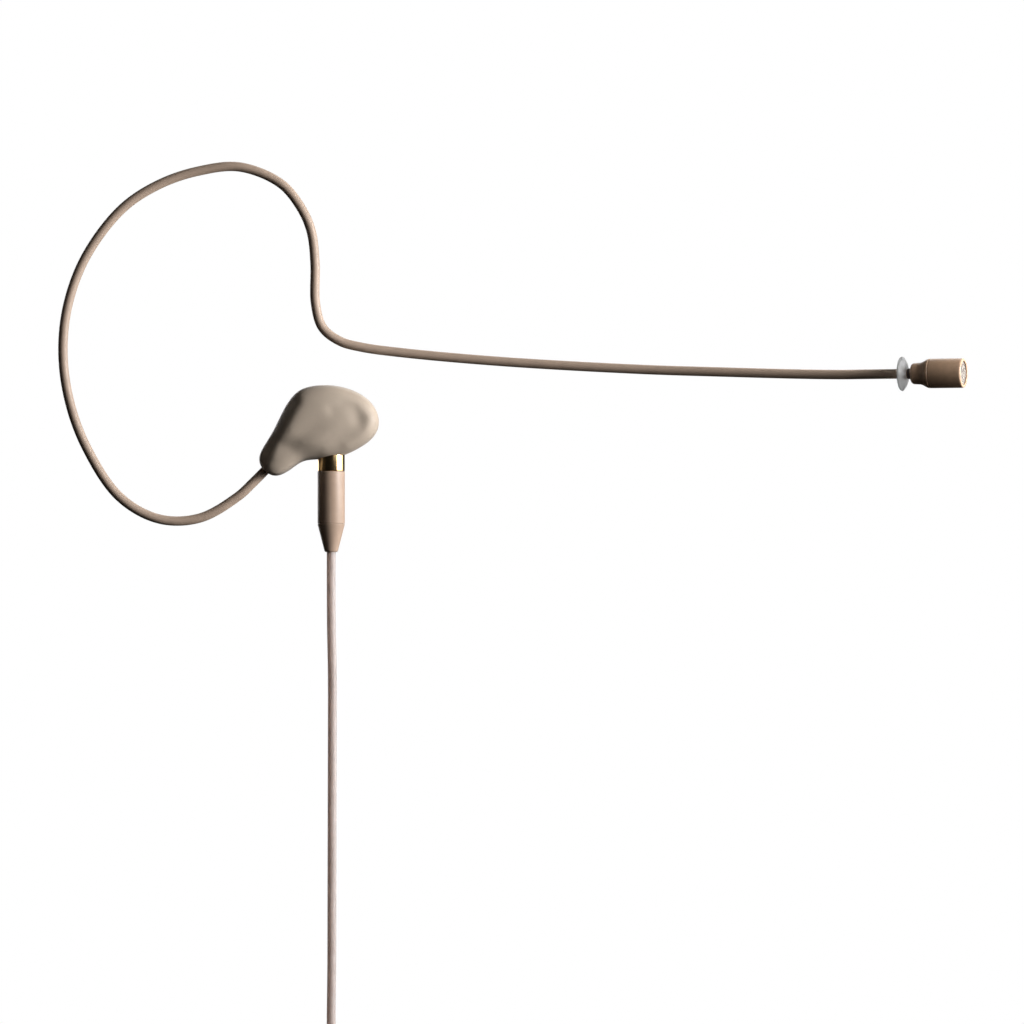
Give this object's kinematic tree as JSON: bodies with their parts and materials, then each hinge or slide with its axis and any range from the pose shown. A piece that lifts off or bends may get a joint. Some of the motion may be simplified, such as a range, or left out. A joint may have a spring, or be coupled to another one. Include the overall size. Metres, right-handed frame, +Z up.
{
  "type": "headset microphone",
  "caption": "Ear-hook headset microphone: wire hook behind the ear, soft earpiece, long thin boom with a small capsule, and a detachable thin cable.",
  "frame": {"origin": "underside of the hook's crown, where the wire rests on the top of the ear", "axes": "+X forward along the boom to the mouth, +Y to the wearer's left, +Z up; the cable hangs along -Z"},
  "size_m": [0.1656, 0.0319, 0.2465],
  "materials": {
    "cocoa_sheath": "matt skin-coloured tube",
    "spring_steel": "bright spring steel",
    "lead_insulation": "thin coloured insulation",
    "cocoa_metal": "satin cocoa paint on metal",
    "silver_mesh": "fine woven steel mesh",
    "rubber_seal": "soft black rubber",
    "nickel": "nickel-plated metal",
    "film": "gold-flashed polyester film",
    "insulator": "off-white moulded insulator",
    "circuit_board": "green solder resist",
    "chip_black": "black moulded package",
    "clear_silicone": "translucent grey silicone",
    "taupe_silicone": "soft-touch moulded silicone",
    "core_nylon": "dark moulded nylon",
    "gold": "polished gold plating",
    "beige_paint": "satin beige paint on metal",
    "cable_jacket": "matt cable jacket",
    "tie_black": "soft black tie",
    "satin_black": "satin black metal",
    "boot_rubber": "black flexible boot"
  },
  "bodies": {
    "hook_front": {"hook_front_sheath": "cocoa_sheath", "hook_front_forming_wire": "spring_steel", "hook_front_signal_lead": "lead_insulation"},
    "hook_rear": {"hook_rear_sheath": "cocoa_sheath", "hook_rear_forming_wire": "spring_steel", "hook_rear_signal_lead": "lead_insulation", "earpiece_skin": "taupe_silicone", "core_half_left": "core_nylon", "core_half_right": "core_nylon", "wire_ferrule": "nickel", "earpiece_lead": "lead_insulation", "gold_collar": "gold", "socket_barrel": "nickel", "socket_insulator": "insulator", "socket_contact": "gold"},
    "boom_root": {"boom_root_sheath": "cocoa_sheath", "boom_root_forming_wire": "spring_steel", "boom_root_signal_lead": "lead_insulation"},
    "boom_mid": {"boom_mid_sheath": "cocoa_sheath", "boom_mid_forming_wire": "spring_steel", "boom_mid_signal_lead": "lead_insulation"},
    "boom_tip": {"boom_tip_sheath": "cocoa_sheath", "boom_tip_forming_wire": "spring_steel", "boom_tip_signal_lead": "lead_insulation", "capsule_housing": "cocoa_metal", "cap_seal": "rubber_seal", "neck_collar": "rubber_seal", "cartridge_can": "nickel", "diaphragm_ring": "nickel", "diaphragm": "film", "spacer_ring": "insulator", "backplate": "nickel", "backplate_holder": "insulator", "circuit_board": "circuit_board", "transistor_chip": "chip_black"},
    "cap": {"grille_cap": "cocoa_metal", "grille_mesh": "silver_mesh"},
    "disc": {"moisture_disc": "clear_silicone"},
    "plug": {"plug_body": "nickel", "plug_insulator": "insulator", "plug_pin": "gold", "crimp_ferrule": "nickel", "strain_relief": "beige_paint", "cable_lead": "cable_jacket", "cable_coil": "cable_jacket", "cable_tail": "cable_jacket", "tie_top": "tie_black", "tie_bottom": "tie_black", "end_boot": "boot_rubber", "end_shell": "satin_black", "end_clamp": "nickel", "end_insert": "insulator", "end_contact_1": "gold", "end_contact_2": "gold", "end_contact_3": "gold", "latch_spring": "spring_steel"},
    "nut": {"coupling_nut": "beige_paint"},
    "latch": {"end_latch": "nickel"}
  },
  "joints": [
    {"name": "hook_flex", "type": "hinge", "parent": "hook_front", "child": "hook_rear", "pos_m": [-0.00895, -0.00012, -0.00092], "axis": [0, 1, 0], "range_deg": [0, 12], "stiffness_Nm_per_rad": 0.05, "springref_deg": -8.59},
    {"name": "boom_tilt", "type": "hinge", "parent": "hook_front", "child": "boom_root", "pos_m": [0.0216, 0, -0.03178], "axis": [0, 1, 0], "range_deg": [-20, 20]},
    {"name": "boom_swing", "type": "hinge", "parent": "boom_root", "child": "boom_mid", "pos_m": [0.04033, -0.00054, -0.03436], "axis": [0, 0, 1], "range_deg": [-20, 15]},
    {"name": "tip_aim", "type": "hinge", "parent": "boom_mid", "child": "boom_tip", "pos_m": [0.10885, -0.01476, -0.03804], "axis": [0, 0, 1], "range_deg": [-25, 25]},
    {"name": "disc_slide", "type": "slide", "parent": "boom_tip", "child": "disc", "axis": [-0.9304, 0.3665, 0], "range_m": [0, 0.01]},
    {"name": "cap_pull", "type": "slide", "parent": "boom_tip", "child": "cap", "axis": [0.9304, -0.3665, 0], "range_m": [0, 0.005]},
    {"name": "plug_withdraw", "type": "slide", "parent": "hook_rear", "child": "plug", "axis": [0, 0, -1], "range_m": [0, 0.0035]},
    {"name": "nut_turn", "type": "hinge", "parent": "plug", "child": "nut", "pos_m": [0.0191, 0, -0.06], "axis": [0, 0, 1], "range_deg": [0, 1801]},
    {"name": "latch_press", "type": "slide", "parent": "plug", "child": "latch", "axis": [0, 1, 0], "range_m": [0, 0.0008], "stiffness_N_per_m": 600, "springref_m": -0.001}
  ],
  "couplings": [
    {"joint": "nut_turn", "follows": "plug_withdraw", "rad_per_m": 8976}
  ]
}
